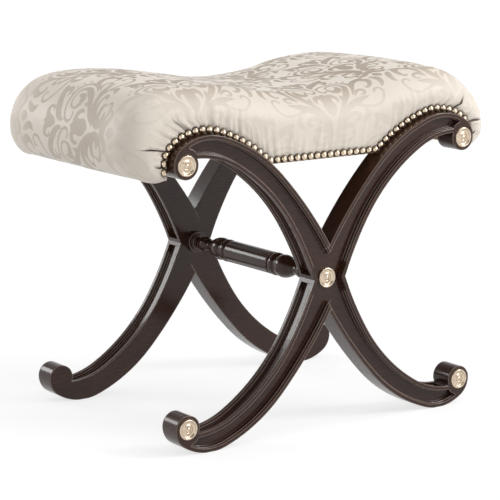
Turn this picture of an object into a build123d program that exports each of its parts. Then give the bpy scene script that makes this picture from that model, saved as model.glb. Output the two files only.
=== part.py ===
from build123d import *
import os
from collections import namedtuple
from math import acos, asin, atan2, cos, degrees, hypot, radians, sin

# An upholstered stool on two crossed frames of S-shaped legs.
# X runs across the crossed legs, Y along the stretcher, Z up from the floor.
# The origin is on the floor, under the middle of the stool. Millimetres.

# Crossed frames
roundel_spacing = 500.0      # between the middles of the left and right scrolls
scroll_rise = 188.0          # scroll middle above or below the crossing
arch_rise = 227.5            # top of the arch above the crossing
arch_inset = 39.0            # top of the arch in from the scroll middle
scroll_radius = 20.0
notch_angle = 155.0          # where the concave edge meets the scroll, in degrees
crossing_half_width = 28.0
frame_thickness = 36.0
frame_gap = 318.0            # clear distance between the two frames
foot_flat_depth = 0.5        # planed off each foot so that it stands flat
convex_lift = 19.8           # degrees that an edge starts steeper than its chord
concave_lift = 25.2
convex_shares = (0.271, 0.435)
concave_shares = (0.154, 0.419)
drop_shares = (0.375, 0.0)
convex_bend = 0.75           # radius of the middle arc as a share of the chord
concave_bend = 0.99

# Mouldings cut into the legs
rim_width = 6.0
rim_depth = 3.4
field_inset = 7.8
field_depth = 10.0
field_start_turn = 1.0       # degrees about the corner of the crossing that are straight
field_end_turn = 27.0        # degrees past the arch top where the field stops
flank_rim = 6.0
flank_rim_depth = 3.0
flank_inset = 8.3
flank_depth = 6.4
flank_start_turn = 0.7       # degrees left plain at the ends of the flank channel
flank_end_turn = 3.0

# Roundels
roundel_radius = 15.0
roundel_height = 4.4
roundel_rim = 3.2
roundel_rim_rise = 1.4
roundel_dish = 1.5           # lowest part of the dish above the seat of the roundel
roundel_ring_radius = 6.9
roundel_ring_height = 3.0
roundel_ring_foot = 2.2
roundel_boss_radius = 4.2
roundel_sink = 1.5
roundel_pin_radius = 2.5
roundel_pin_length = 10.0
boss_depth = 2.0
fit_clearance = 0.15

# Stretcher and its bolts
barrel_radius = 17.0
band_radius = 17.6
groove_radius = 15.2
vase_radius = 17.6
vase_shoulder_radius = 14.1
neck_radius = 7.4
ball_radius = 11.8
collar_radius = 16.6
band_length = 15.0
groove_length = 2.0
vase_length = 38.0
vase_belly = 9.0             # widest place of the vase from its foot
vase_shoulder = 24.5
neck_length = 5.0
ball_length = 26.0
ring_length = 4.0
collar_length = 7.0
tenon_radius = 10.0
tenon_length = 10.0
bolt_radius = 4.0
bolt_reach = 34.0            # into the stretcher, from the bottom of the mortise
bolt_head_radius = 6.5
bolt_head_height = 6.0
washer_radius = 9.0
washer_thickness = 1.5
bolt_pocket_radius = 10.0
bolt_pocket_depth = 10.0

# Seat
seat_setback = 17.0          # cover behind the outer face of the frame
cover_thickness = 2.0
board_thickness = 24.0
board_drop = 53.0            # lower edge of the seat boards below the arch top
crest_rise = 57.5            # crest of the seat above the arch top
crest_inset = 28.0           # crest of the seat in from the scroll middle
saddle_dip = 25.0
roll_overhang = 52.0         # roll beyond the outer side of the scroll
roll_lift = 26.0             # widest part of the roll above the scroll middle
roll_drop = 18.0             # underside of the roll below the scroll middle
roll_under = 14.0            # where the underside of the roll turns flat
roll_shares = (0.45, 0.0)
edge_radius = 36.0
edge_turns = (0.0, 30.0, 60.0, 90.0)   # sections round the padded edge, in degrees
inner_shares = (0.84, 0.56, 0.28)      # sections between the padded edges
crown = 6.0
side_bulge = 3.0
pad_thickness = 40.0         # cover and foam together, over the boards
strap_thickness = 1.8
strap_width = 46.0
strap_pitch = 60.0
straps_each_side = 4
strap_end = 6.0              # strap end short of the face of the board
bearer_x = 70.0
bearer_width = 24.0
bearer_height = 30.0
dust_thickness = 1.0
seat_gap = 0.3               # between pieces that lie on each other
dowel_radius = 4.0
dowel_reach = 13.0
dowel_spacing = 16.0

# Fasteners of the seat
screw_insets = (45.0, 80.0)  # in from the scroll middle
fastener_gap = 0.6           # between a nail's point and a seat screw
screw_radius = 2.2
screw_head_radius = 4.0
screw_head_height = 3.0
screw_pocket = 5.0
screw_bite = 13.0            # into the board
nail_radius = 5.4
nail_dome = 3.8
nail_shank_radius = 0.9
nail_shank_length = 6.5
nail_pitch = 11.8
nail_offset = 5.8            # nail line above the edge of the leg
nail_inset = 5.5             # nail line above the lower edge of the cover
nail_tail = 9.0              # nail line below the scroll middle

# Places that follow from the sizes above
scroll_x = roundel_spacing / 2
crossing_z = arch_rise - foot_flat_depth
scroll_z = crossing_z + scroll_rise
arch_z = crossing_z + arch_rise
arch_x = scroll_x - arch_inset
inner_y = frame_gap / 2
outer_y = inner_y + frame_thickness
cover_y = outer_y - seat_setback
board_y = cover_y - cover_thickness
board_z = arch_z - board_drop
crest_z = arch_z + crest_rise
crest_x = scroll_x - crest_inset
scroll_edge_x = scroll_x + scroll_radius
roll_x = scroll_edge_x + roll_overhang
roll_z = scroll_z + roll_lift
roll_floor = scroll_z - roll_drop
roll_under_x = scroll_edge_x + roll_under

# An arc is held by its centre, its signed radius and its headings in degrees:
# a positive radius turns right along the way, a negative one turns left.
Arc = namedtuple("Arc", "x z radius start finish")


def left_of(heading):
    """Unit vector to the left of a heading."""
    return (-sin(radians(heading)), cos(radians(heading)))


def arc_point(arc, heading):
    """Point of an arc where its way has this heading."""
    side = left_of(heading)
    return (arc.x + arc.radius * side[0], arc.z + arc.radius * side[1])


def arc_from(start, heading, finish, radius):
    """Arc that leaves a point at one heading and goes on to another."""
    side = left_of(heading)
    return Arc(start[0] - radius * side[0], start[1] - radius * side[1], radius, heading, finish)


def arc_run(start, heading, end, finish, shares, middle_radius):
    """Three arcs between two points, with the shares of the turn that the first two take.
    The radii of the first and the last arc follow from the ends."""
    turn = heading - finish
    knee = heading - shares[0] * turn
    hip = knee - shares[1] * turn
    stops = [left_of(angle) for angle in (heading, knee, hip, finish)]
    steps = [(b[0] - a[0], b[1] - a[1]) for a, b in zip(stops, stops[1:])]
    rest_x = end[0] - start[0] - middle_radius * steps[1][0]
    rest_z = end[1] - start[1] - middle_radius * steps[1][1]
    area = steps[0][0] * steps[2][1] - steps[0][1] * steps[2][0]
    first_radius = (rest_x * steps[2][1] - rest_z * steps[2][0]) / area
    last_radius = (steps[0][0] * rest_z - steps[0][1] * rest_x) / area
    first = arc_from(start, heading, knee, first_radius)
    middle = arc_from(arc_point(first, knee), knee, hip, middle_radius)
    last = arc_from(arc_point(middle, hip), hip, finish, last_radius)
    return [arc for arc in (first, middle, last) if arc.start != arc.finish]


def shifted(arcs, distance):
    """The same way, moved to its left by a distance."""
    return [arc._replace(radius=arc.radius + distance) for arc in arcs]


def between(arcs, start, finish):
    """The stretch of a right-turning way between two headings."""
    kept = []
    for arc in arcs:
        first = min(arc.start, start)
        last = max(arc.finish, finish)
        if first > last:
            kept.append(arc._replace(start=first, finish=last))
    return kept


def heading_at_height(arcs, z):
    """Heading where a rising way reaches a height."""
    for arc in arcs:
        if arc_point(arc, arc.finish)[1] >= z:
            return degrees(acos((z - arc.z) / arc.radius))
    return arcs[-1].finish


def height_at(arcs, x):
    """Height of a way at a place along X."""
    for arc in arcs:
        if arc_point(arc, arc.finish)[0] >= x:
            heading = degrees(asin((arc.x - x) / arc.radius))
            return arc_point(arc, heading)[1]
    return arc_point(arcs[-1], arcs[-1].finish)[1]


def as_is(point):
    return point


def mirrored(point):
    return (-point[0], point[1])


def half_turned(point):
    return (-point[0], 2 * crossing_z - point[1])


def draw_arcs(arcs, place=as_is):
    for arc in arcs:
        stops = (arc.start, (arc.start + arc.finish) / 2, arc.finish)
        ThreePointArc(*[place(arc_point(arc, heading)) for heading in stops])


def start_of(arcs):
    return arc_point(arcs[0], arcs[0].start)


def end_of(arcs):
    return arc_point(arcs[-1], arcs[-1].finish)


def chord_heading(start, end):
    return degrees(atan2(end[1] - start[1], end[0] - start[0]))


def chord_length(start, end):
    return hypot(end[0] - start[0], end[1] - start[1])


# Edges of the limb that rises to the right, from the crossing to its scroll
convex_start = (-crossing_half_width, crossing_z)
concave_start = (crossing_half_width, crossing_z)
arch_top = (arch_x, arch_z)
scroll_side = (scroll_edge_x, scroll_z)
notch = (
    scroll_x + scroll_radius * cos(radians(notch_angle)),
    scroll_z + scroll_radius * sin(radians(notch_angle)),
)
convex_edge = arc_run(
    convex_start,
    chord_heading(convex_start, arch_top) + convex_lift,
    arch_top,
    0,
    convex_shares,
    convex_bend * chord_length(convex_start, arch_top),
)
concave_edge = arc_run(
    concave_start,
    chord_heading(concave_start, notch) + concave_lift,
    notch,
    0,
    concave_shares,
    concave_bend * chord_length(concave_start, notch),
)
drop_edge = arc_run(arch_top, 0, scroll_side, -90, drop_shares, 0)
scroll_edge = [Arc(scroll_x, scroll_z, -scroll_radius, notch_angle + 90, 450)]
arm_top = convex_edge + drop_edge


def leg_face(place):
    """Outline of one S-shaped leg, two limbs that are half turns of each other."""
    with BuildSketch(Plane.XZ.offset(outer_y)) as face:
        with BuildLine():
            for half in (as_is, half_turned):
                for arcs in (convex_edge, drop_edge, scroll_edge, concave_edge):
                    draw_arcs(arcs, lambda point: place(half(point)))
        make_face()
    return face.sketch


def field_face(place, inset):
    """Sunk field of one leg, inside its rims, ending short of both scrolls."""
    right = shifted(between(concave_edge, concave_edge[0].start - field_start_turn, 0), inset)
    left = shifted(between(arm_top, arm_top[0].start - field_start_turn, -field_end_turn), -inset)
    ends = [(point[0] - scroll_x, point[1] - scroll_z) for point in (end_of(right), end_of(left))]
    reach = sum(hypot(*end) for end in ends) / 2
    turn = sum(atan2(end[1], end[0]) for end in ends) / 2
    middle = (scroll_x + reach * cos(turn), scroll_z + reach * sin(turn))
    with BuildSketch(Plane.XZ.offset(outer_y)) as face:
        with BuildLine():
            for half in (as_is, half_turned):
                draw_arcs(right, lambda point: place(half(point)))
                draw_arcs(left, lambda point: place(half(point)))
                end_points = (end_of(right), middle, end_of(left))
                ThreePointArc(*[place(half(point)) for point in end_points])
                Line(place(half(start_of(right))), place(half(half_turned(start_of(left)))))
        make_face()
    return face.sketch


def flank_face(place, inset, depth):
    """Section of one step of the channel in the concave side of one limb."""
    turn_in = concave_edge[0].start - flank_start_turn
    turn_out = concave_edge[-1].finish + flank_end_turn
    run = between(concave_edge, turn_in, turn_out)
    outside = shifted(run, -1)
    floor = shifted(run, depth)
    with BuildSketch(Plane.XZ.offset(outer_y - inset)) as face:
        with BuildLine():
            draw_arcs(outside, place)
            draw_arcs(floor, place)
            Line(place(start_of(outside)), place(start_of(floor)))
            Line(place(end_of(outside)), place(end_of(floor)))
        make_face()
    return face.sketch


def drill(x, y, z, direction, radius, depth):
    """Round hole from a point, along a direction."""
    with BuildSketch(Plane(origin=(x, y, z), z_dir=direction)) as mouth:
        Circle(radius)
    extrude(mouth.sketch, amount=depth, mode=Mode.SUBTRACT)


screw_xs = [scroll_x - inset for inset in screw_insets]
screw_y = cover_y - nail_shank_length - fastener_gap - screw_radius
INTO_FRONT = (0, 1, 0)
INTO_REAR = (0, -1, 0)
UP = (0, 0, 1)


def screw_seat(x):
    """Height of the shoulder that a seat screw's head pulls against."""
    return height_at(concave_edge, x) + flank_depth + screw_pocket


def screw_tip(x):
    """Height of a seat screw's tip, in the board over the arm."""
    return height_at(arm_top, x) + screw_bite


def make_front_leg(place, other, lap_is_behind):
    """One leg of the front frame. The two legs cross in a half lap."""
    side = place((1, 0))[0]
    with BuildPart() as leg:
        extrude(leg_face(place), amount=-frame_thickness)
        lap_y = outer_y - frame_thickness / 2 if lap_is_behind else outer_y
        lap_face = leg_face(other).moved(Location((0, outer_y - lap_y, 0)))
        extrude(lap_face, amount=-frame_thickness / 2, mode=Mode.SUBTRACT)
        for across in (place, other):
            extrude(field_face(across, rim_width), amount=-rim_depth, mode=Mode.SUBTRACT)
            extrude(field_face(across, field_inset), amount=-field_depth, mode=Mode.SUBTRACT)
        for half in (as_is, half_turned):
            for inset, depth in ((flank_rim, flank_rim_depth), (flank_inset, flank_depth)):
                channel = flank_face(lambda point: place(half(point)), inset, depth)
                extrude(channel, amount=2 * inset - frame_thickness, mode=Mode.SUBTRACT)
            x, z = place(half((scroll_x, scroll_z)))
            drill(x, -outer_y, z, INTO_FRONT, roundel_radius + fit_clearance, roundel_sink)
            pin_depth = roundel_sink + roundel_pin_length + fit_clearance
            drill(x, -outer_y, z, INTO_FRONT, roundel_pin_radius + fit_clearance, pin_depth)
        pocket_end = field_depth + bolt_pocket_depth
        drill(0, -outer_y, crossing_z, INTO_FRONT, bolt_pocket_radius, pocket_end)
        drill(0, -outer_y, crossing_z, INTO_FRONT, bolt_radius + fit_clearance, frame_thickness)
        drill(0, -inner_y, crossing_z, INTO_REAR, tenon_radius + fit_clearance, tenon_length)
        for x in screw_xs:
            bottom = height_at(concave_edge, x) - scroll_radius
            pocket = screw_seat(x) - bottom
            drill(side * x, -screw_y, bottom, UP, screw_head_radius + fit_clearance, pocket)
            drill(side * x, -screw_y, bottom, UP, screw_radius + fit_clearance, screw_tip(x) - bottom)
        with BuildSketch():
            Rectangle(4 * roundel_spacing, 4 * frame_gap)
        extrude(amount=-2 * arch_rise, mode=Mode.SUBTRACT)
    return leg


front_leg_rising_right = make_front_leg(as_is, mirrored, True)
front_leg_rising_left = make_front_leg(mirrored, as_is, False)

with BuildPart() as rear_leg_rising_right:
    mirror(front_leg_rising_right.part, about=Plane.XZ)

with BuildPart() as rear_leg_rising_left:
    mirror(front_leg_rising_left.part, about=Plane.XZ)


def dome_middle(radius, rise, top):
    """Point half way along the section of a round dome, from its edge to its top."""
    dome_radius = (radius**2 + rise**2) / (2 * rise)
    turn = asin(radius / dome_radius) / 2
    return (dome_radius * sin(turn), top - dome_radius * (1 - cos(turn)))


def make_roundel(x, z, seat_y, facing, shank_radius, shank_length):
    """Turned roundel with a rim, a dish, a ring and a boss, and a shank behind."""
    rim_in = roundel_radius - roundel_rim
    shoulder = roundel_height - roundel_rim_rise
    rim_top = (roundel_radius - roundel_rim / 2, roundel_height)
    dish_low = ((rim_in + roundel_ring_radius) / 2, roundel_dish)
    ring_outside = (roundel_ring_radius, roundel_ring_foot)
    ring_top = ((roundel_ring_radius + roundel_boss_radius) / 2, roundel_ring_height)
    boss_foot = (roundel_boss_radius, roundel_ring_foot)
    boss_rise = roundel_height - roundel_ring_foot
    boss_middle = dome_middle(roundel_boss_radius, boss_rise, roundel_height)
    profile_plane = Plane(origin=(x, seat_y, z), x_dir=(1, 0, 0), z_dir=(0, 0, facing))
    with BuildPart() as roundel:
        with BuildSketch(profile_plane):
            with BuildLine():
                Polyline(
                    (0, roundel_height),
                    (0, -shank_length),
                    (shank_radius, -shank_length),
                    (shank_radius, 0),
                    (roundel_radius, 0),
                    (roundel_radius, shoulder),
                )
                ThreePointArc((roundel_radius, shoulder), rim_top, (rim_in, shoulder))
                ThreePointArc((rim_in, shoulder), dish_low, ring_outside)
                ThreePointArc(ring_outside, ring_top, boss_foot)
                ThreePointArc(boss_foot, boss_middle, (0, roundel_height))
            make_face()
        revolve(axis=Axis((x, seat_y, z), (0, 1, 0)))
    return roundel


scroll_roundels = {}
for name, facing in (("front", -1), ("rear", 1)):
    for level, z in (("upper", scroll_z), ("lower", 2 * crossing_z - scroll_z)):
        for hand, x in (("left", -scroll_x), ("right", scroll_x)):
            scroll_roundels[f"{name}_{level}_{hand}_roundel"] = make_roundel(
                x, z, facing * (outer_y - roundel_sink), facing, roundel_pin_radius, roundel_pin_length
            )

centre_shank = bolt_pocket_radius - fit_clearance
centre_seat = outer_y - field_depth
front_centre_roundel = make_roundel(0, crossing_z, -centre_seat, -1, centre_shank, boss_depth)
rear_centre_roundel = make_roundel(0, crossing_z, centre_seat, 1, centre_shank, boss_depth)

# Stretcher: a turned bar with a round tenon at each end, in half from the middle out
stretcher_axis = Axis((0, 0, crossing_z), (0, 1, 0))
stretcher_plane = Plane(origin=(0, 0, crossing_z), x_dir=(0, 1, 0), z_dir=(1, 0, 0))
collar_start = inner_y - collar_length
ring_start = collar_start - ring_length
second_neck = ring_start - neck_length
ball_start = second_neck - ball_length
first_neck = ball_start - neck_length
vase_start = first_neck - vase_length
outer_groove = vase_start - groove_length
band_start = outer_groove - band_length
barrel_end = band_start - groove_length
tenon_end = inner_y + tenon_length - fit_clearance

with BuildPart() as stretcher:
    with BuildSketch(stretcher_plane):
        with BuildLine():
            for side in (1, -1):
                Line((0, barrel_radius), (side * barrel_end, barrel_radius))
                Polyline(
                    (side * barrel_end, barrel_radius),
                    (side * barrel_end, groove_radius),
                    (side * band_start, groove_radius),
                )
                band_middle = band_start + band_length / 2
                ThreePointArc(
                    (side * band_start, groove_radius),
                    (side * band_middle, band_radius),
                    (side * outer_groove, groove_radius),
                )
                Line((side * outer_groove, groove_radius), (side * vase_start, groove_radius))
                Spline(
                    (side * vase_start, groove_radius),
                    (side * (vase_start + vase_belly), vase_radius),
                    (side * (vase_start + vase_shoulder), vase_shoulder_radius),
                    (side * first_neck, neck_radius),
                )
                Line((side * first_neck, neck_radius), (side * ball_start, neck_radius))
                ThreePointArc(
                    (side * ball_start, neck_radius),
                    (side * (ball_start + ball_length / 2), ball_radius),
                    (side * second_neck, neck_radius),
                )
                Polyline(
                    (side * second_neck, neck_radius),
                    (side * ring_start, neck_radius),
                    (side * ring_start, ball_radius),
                    (side * collar_start, ball_radius),
                    (side * collar_start, collar_radius),
                    (side * inner_y, collar_radius),
                    (side * inner_y, tenon_radius),
                    (side * tenon_end, tenon_radius),
                    (side * tenon_end, 0),
                )
            Line((-tenon_end, 0), (tenon_end, 0))
        make_face()
    revolve(axis=stretcher_axis)
    for side, direction in ((-1, INTO_FRONT), (1, INTO_REAR)):
        drill(0, side * tenon_end, crossing_z, direction, bolt_radius, bolt_reach)

washer_seat = outer_y - field_depth - bolt_pocket_depth
head_seat = washer_seat + washer_thickness
bolt_end = inner_y + tenon_length - bolt_reach

with BuildPart() as stretcher_bolts:
    for side in (-1, 1):
        with BuildSketch(Plane.XZ.offset(-side * head_seat)) as head:
            with Locations((0, crossing_z)):
                RegularPolygon(bolt_head_radius, 6)
        extrude(head.sketch, amount=-side * bolt_head_height)
        with BuildSketch(Plane.XZ.offset(-side * head_seat)) as shank:
            with Locations((0, crossing_z)):
                Circle(bolt_radius)
        extrude(shank.sketch, amount=side * (head_seat - bolt_end))

with BuildPart() as stretcher_washers:
    for side in (-1, 1):
        with BuildSketch(Plane.XZ.offset(-side * washer_seat)) as ring:
            with Locations((0, crossing_z)):
                Circle(washer_radius)
                Circle(bolt_radius + fit_clearance, mode=Mode.SUBTRACT)
        extrude(ring.sketch, amount=-side * washer_thickness)


def seat_profile(inset, lift, bulge):
    """Half outline of the seat from the dip over the crest to the side of the roll."""
    slope = 2 * degrees(atan2(saddle_dip, crest_x))
    wave = crest_x / (2 * sin(radians(slope)))
    dip = arc_from((0, crest_z + lift - saddle_dip), 0, slope, -wave)
    crest = arc_from(arc_point(dip, slope), slope, 0, wave)
    roll = arc_run((crest_x, crest_z + lift), 0, (roll_x + bulge, roll_z), -90, roll_shares, 0)
    return shifted([dip, crest] + roll, -inset)


def seat_section(y, inset, swell, floor):
    """Closed section of the padded seat across the stool."""
    arcs = seat_profile(inset, crown * swell, side_bulge * swell)
    tip = end_of(arcs)
    under = tip[0] - roll_under_x
    knee = (tip[0], floor + under)
    turn = (roll_under_x + under * cos(radians(45)), floor + under * (1 - sin(radians(45))))
    toe = (roll_under_x, floor)
    with BuildSketch(Plane.XZ.offset(-y)) as section:
        with BuildLine():
            for place in (as_is, mirrored):
                draw_arcs(arcs, place)
                Line(place(tip), place(knee))
                ThreePointArc(place(knee), place(turn), place(toe))
            Line(mirrored(toe), toe)
        make_face()
    return section.sketch


def seat_sections(front, inset, radius, floor):
    """Sections from front to rear: the padded edges round over, the middle is crowned."""
    front_half = []
    for turn in edge_turns:
        run = radius * (1 - cos(radians(turn)))
        drop = radius * (1 - sin(radians(turn)))
        front_half.append((front - run, drop))
    front_half += [((front - radius) * share, 0) for share in inner_shares]
    places = [(-y, more) for y, more in front_half] + [(0, 0)] + list(reversed(front_half))
    return [seat_section(y, inset + more, 1 - (y / front) ** 2, floor) for y, more in places]


def under_way(offset, row_z, foot_z):
    """Lower edge of the seat, half of it: a straight row, then over the arm and down past its scroll."""
    way = shifted(arm_top, offset)
    way = between(way, heading_at_height(way, row_z), -90)
    return way, (end_of(way)[0], foot_z)


def hollow_face(offset, row_z, plane):
    """Everything under the lower edge of the seat."""
    way, foot = under_way(offset, row_z, 0)
    with BuildSketch(plane) as face:
        with BuildLine():
            for place in (as_is, mirrored):
                draw_arcs(way, place)
                Line(place(end_of(way)), place(foot))
            Line(mirrored(start_of(way)), start_of(way))
            Line(mirrored(foot), foot)
        make_face()
    return face.sketch


def board_face():
    """Front seat board: a bow over the arms, hooked down past the scrolls."""
    way, foot = under_way(seat_gap, board_z, roll_floor + cover_thickness + seat_gap)
    top = seat_profile(pad_thickness, 0, 0)
    heel = (end_of(top)[0], foot[1])
    with BuildSketch(Plane.XZ.offset(board_y)) as face:
        with BuildLine():
            for place in (as_is, mirrored):
                draw_arcs(way, place)
                draw_arcs(top, place)
                Polyline(place(end_of(way)), place(foot), place(heel), place(end_of(top)))
            Line(mirrored(start_of(way)), start_of(way))
        make_face()
    return face.sketch


def nail_points():
    """Middles of the nails along the front edge, from one scroll over to the other."""
    row_z = board_z + nail_inset
    way, foot = under_way(nail_offset, row_z, scroll_z - nail_tail)
    lengths = [start_of(way)[0]]
    lengths += [arc.radius * radians(arc.start - arc.finish) for arc in way]
    lengths += [nail_tail]
    half = sum(lengths)
    count = 2 * round(half / nail_pitch)
    points = []
    for i in range(count + 1):
        place = as_is if 2 * i >= count else mirrored
        left = abs(2 * half * i / count - half)
        if left <= lengths[0]:
            points.append(place((left, row_z)))
            continue
        left -= lengths[0]
        for arc, length in zip(way, lengths[1:]):
            if left <= length:
                points.append(place(arc_point(arc, arc.start - degrees(left / arc.radius))))
                break
            left -= length
        else:
            points.append(place((foot[0], scroll_z - left)))
    return points


def make_nails(points, side):
    """Domed nails in the cover's front or rear edge."""
    dome_side = dome_middle(nail_radius, nail_dome, nail_dome)
    with BuildPart() as nail:
        with BuildSketch(Plane.XY):
            with BuildLine():
                Polyline(
                    (0, nail_dome),
                    (0, -nail_shank_length),
                    (nail_shank_radius, -nail_shank_length),
                    (nail_shank_radius, 0),
                    (nail_radius, 0),
                )
                ThreePointArc((nail_radius, 0), dome_side, (0, nail_dome))
            make_face()
        revolve(axis=Axis.Y)
    turned = nail.part if side > 0 else nail.part.rotate(Axis.Z, 180)
    with BuildPart() as nails:
        with Locations(*[(x, side * cover_y, z) for x, z in points]):
            add(turned)
    return nails


nails_at = nail_points()
front_nails = make_nails(nails_at, -1)
rear_nails = make_nails(nails_at, 1)

side_rail_foot = roll_floor + cover_thickness + seat_gap
side_rail_top = roll_z
side_rail_in = scroll_edge_x + seat_gap
side_rail_out = roll_x - pad_thickness
rail_y = board_y - board_thickness
bearer_z = board_z + dust_thickness + seat_gap
rail_middle = ((side_rail_in + side_rail_out) / 2, (side_rail_foot + side_rail_top) / 2)
bearer_middle = (bearer_x, bearer_z + bearer_height / 2)
dowel_xz = []
for x, z in (rail_middle, bearer_middle):
    dowel_xz += [(x, z - dowel_spacing / 2), (x, z + dowel_spacing / 2)]
dowel_xz += [mirrored(point) for point in dowel_xz]

with BuildPart() as front_seat_board:
    extrude(board_face(), amount=-board_thickness)
    for x in screw_xs:
        for side in (-1, 1):
            drill(side * x, -screw_y, board_z, UP, screw_radius, screw_tip(x) + seat_gap - board_z)
    for x, z in nails_at:
        drill(x, -board_y, z, INTO_FRONT, nail_shank_radius, nail_shank_length)
    for x, z in dowel_xz:
        drill(x, -rail_y, z, INTO_REAR, dowel_radius, dowel_reach)

with BuildPart() as rear_seat_board:
    mirror(front_seat_board.part, about=Plane.XZ)


def make_rail(low_x, high_x, low_z, high_z):
    """Straight rail between the seat boards, with dowel holes in both ends."""
    middle = ((low_x + high_x) / 2, 0, (low_z + high_z) / 2)
    with BuildPart() as rail:
        with Locations(middle):
            Box(high_x - low_x, 2 * rail_y, high_z - low_z)
        for x, z in dowel_xz:
            if low_x < x < high_x:
                drill(x, -rail_y, z, INTO_FRONT, dowel_radius, dowel_reach)
                drill(x, rail_y, z, INTO_REAR, dowel_radius, dowel_reach)
    return rail


left_side_rail = make_rail(-side_rail_out, -side_rail_in, side_rail_foot, side_rail_top)
right_side_rail = make_rail(side_rail_in, side_rail_out, side_rail_foot, side_rail_top)
half_bearer = bearer_width / 2
bearer_top = bearer_z + bearer_height
left_bearer = make_rail(-bearer_x - half_bearer, -bearer_x + half_bearer, bearer_z, bearer_top)
right_bearer = make_rail(bearer_x - half_bearer, bearer_x + half_bearer, bearer_z, bearer_top)

with BuildPart() as seat_dowels:
    for side in (-1, 1):
        with BuildSketch(Plane.XZ.offset(-side * rail_y)) as ends:
            with Locations(*dowel_xz):
                Circle(dowel_radius)
        extrude(ends.sketch, amount=dowel_reach, both=True)


def make_seat_screws(side):
    """Screws up through the arms of one frame into its seat board."""
    with BuildPart() as screws:
        for x in screw_xs:
            for hand in (-1, 1):
                low = screw_seat(x) - screw_head_height
                with BuildSketch(Plane.XY.offset(low)) as head:
                    with Locations((hand * x, side * screw_y)):
                        Circle(screw_head_radius)
                extrude(head.sketch, amount=screw_head_height)
                with BuildSketch(Plane.XY.offset(low)) as shank:
                    with Locations((hand * x, side * screw_y)):
                        Circle(screw_radius)
                extrude(shank.sketch, amount=screw_tip(x) - low)
    return screws


front_seat_screws = make_seat_screws(-1)
rear_seat_screws = make_seat_screws(1)


def band_face(inset, thickness):
    """Layer that follows the top of the seat boards."""
    with BuildSketch(Plane.XZ) as face:
        with BuildLine():
            for place in (as_is, mirrored):
                for depth in (inset, inset - thickness):
                    draw_arcs(seat_profile(depth, 0, 0), place)
                low = end_of(seat_profile(inset, 0, 0))
                high = end_of(seat_profile(inset - thickness, 0, 0))
                Line(place(low), place(high))
        make_face()
    return face.sketch


with BuildPart() as webbing:
    extrude(band_face(pad_thickness, strap_thickness), amount=board_y - strap_end, both=True)
    with BuildPart(mode=Mode.PRIVATE) as strap_places:
        for i in range(-straps_each_side, straps_each_side + 1):
            with Locations((i * strap_pitch, 0, crest_z)):
                Box(strap_width, 4 * outer_y, 2 * crest_rise + 2 * board_drop)
    add(strap_places.part, mode=Mode.INTERSECT)

core_inset = pad_thickness - strap_thickness - seat_gap


def core_face():
    """Everything under the foam: boards, rails and webbing."""
    top = seat_profile(core_inset, 0, 0)
    foot = (end_of(top)[0], 0)
    with BuildSketch(Plane.XZ) as face:
        with BuildLine():
            for place in (as_is, mirrored):
                draw_arcs(top, place)
                Line(place(end_of(top)), place(foot))
            Line(mirrored(foot), foot)
        make_face()
    return face.sketch


with BuildPart() as padding:
    loft(seat_sections(board_y, cover_thickness, edge_radius - cover_thickness, roll_floor + cover_thickness))

with BuildPart() as seat_foam:
    add(padding.part)
    extrude(core_face(), amount=2 * outer_y, both=True, mode=Mode.SUBTRACT)

with BuildPart() as seat_cover:
    loft(seat_sections(cover_y, 0, edge_radius, roll_floor))
    add(padding.part, mode=Mode.SUBTRACT)
    extrude(hollow_face(seat_gap, board_z, Plane.XZ), amount=2 * outer_y, both=True, mode=Mode.SUBTRACT)
    for x, z in nails_at:
        drill(x, -cover_y, z, INTO_FRONT, nail_shank_radius, cover_thickness)
        drill(x, cover_y, z, INTO_REAR, nail_shank_radius, cover_thickness)

with BuildPart() as dust_cover:
    lower = hollow_face(0, board_z - seat_gap, Plane.XZ)
    extrude(lower, amount=inner_y - seat_gap, both=True)
    upper = hollow_face(-dust_thickness, board_z - seat_gap - dust_thickness, Plane.XZ)
    extrude(upper, amount=inner_y, both=True, mode=Mode.SUBTRACT)
    with BuildSketch():
        Rectangle(4 * roundel_spacing, 4 * outer_y)
    extrude(amount=side_rail_foot, mode=Mode.SUBTRACT)

pieces = {
    "front_leg_rising_right": front_leg_rising_right,
    "front_leg_rising_left": front_leg_rising_left,
    "rear_leg_rising_right": rear_leg_rising_right,
    "rear_leg_rising_left": rear_leg_rising_left,
    "front_centre_roundel": front_centre_roundel,
    "rear_centre_roundel": rear_centre_roundel,
    "stretcher": stretcher,
    "stretcher_bolts": stretcher_bolts,
    "stretcher_washers": stretcher_washers,
    "front_seat_board": front_seat_board,
    "rear_seat_board": rear_seat_board,
    "left_side_rail": left_side_rail,
    "right_side_rail": right_side_rail,
    "left_bearer": left_bearer,
    "right_bearer": right_bearer,
    "seat_dowels": seat_dowels,
    "front_seat_screws": front_seat_screws,
    "rear_seat_screws": rear_seat_screws,
    "webbing": webbing,
    "seat_foam": seat_foam,
    "seat_cover": seat_cover,
    "dust_cover": dust_cover,
    "front_nails": front_nails,
    "rear_nails": rear_nails,
}
pieces.update(scroll_roundels)

os.makedirs("parts", exist_ok=True)
for name, piece in pieces.items():
    piece.part.label = name
    export_step(piece.part, f"parts/{name}.step")
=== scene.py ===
from collections import namedtuple
from math import atan2, cos, degrees, hypot, pi, radians, sin

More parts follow.
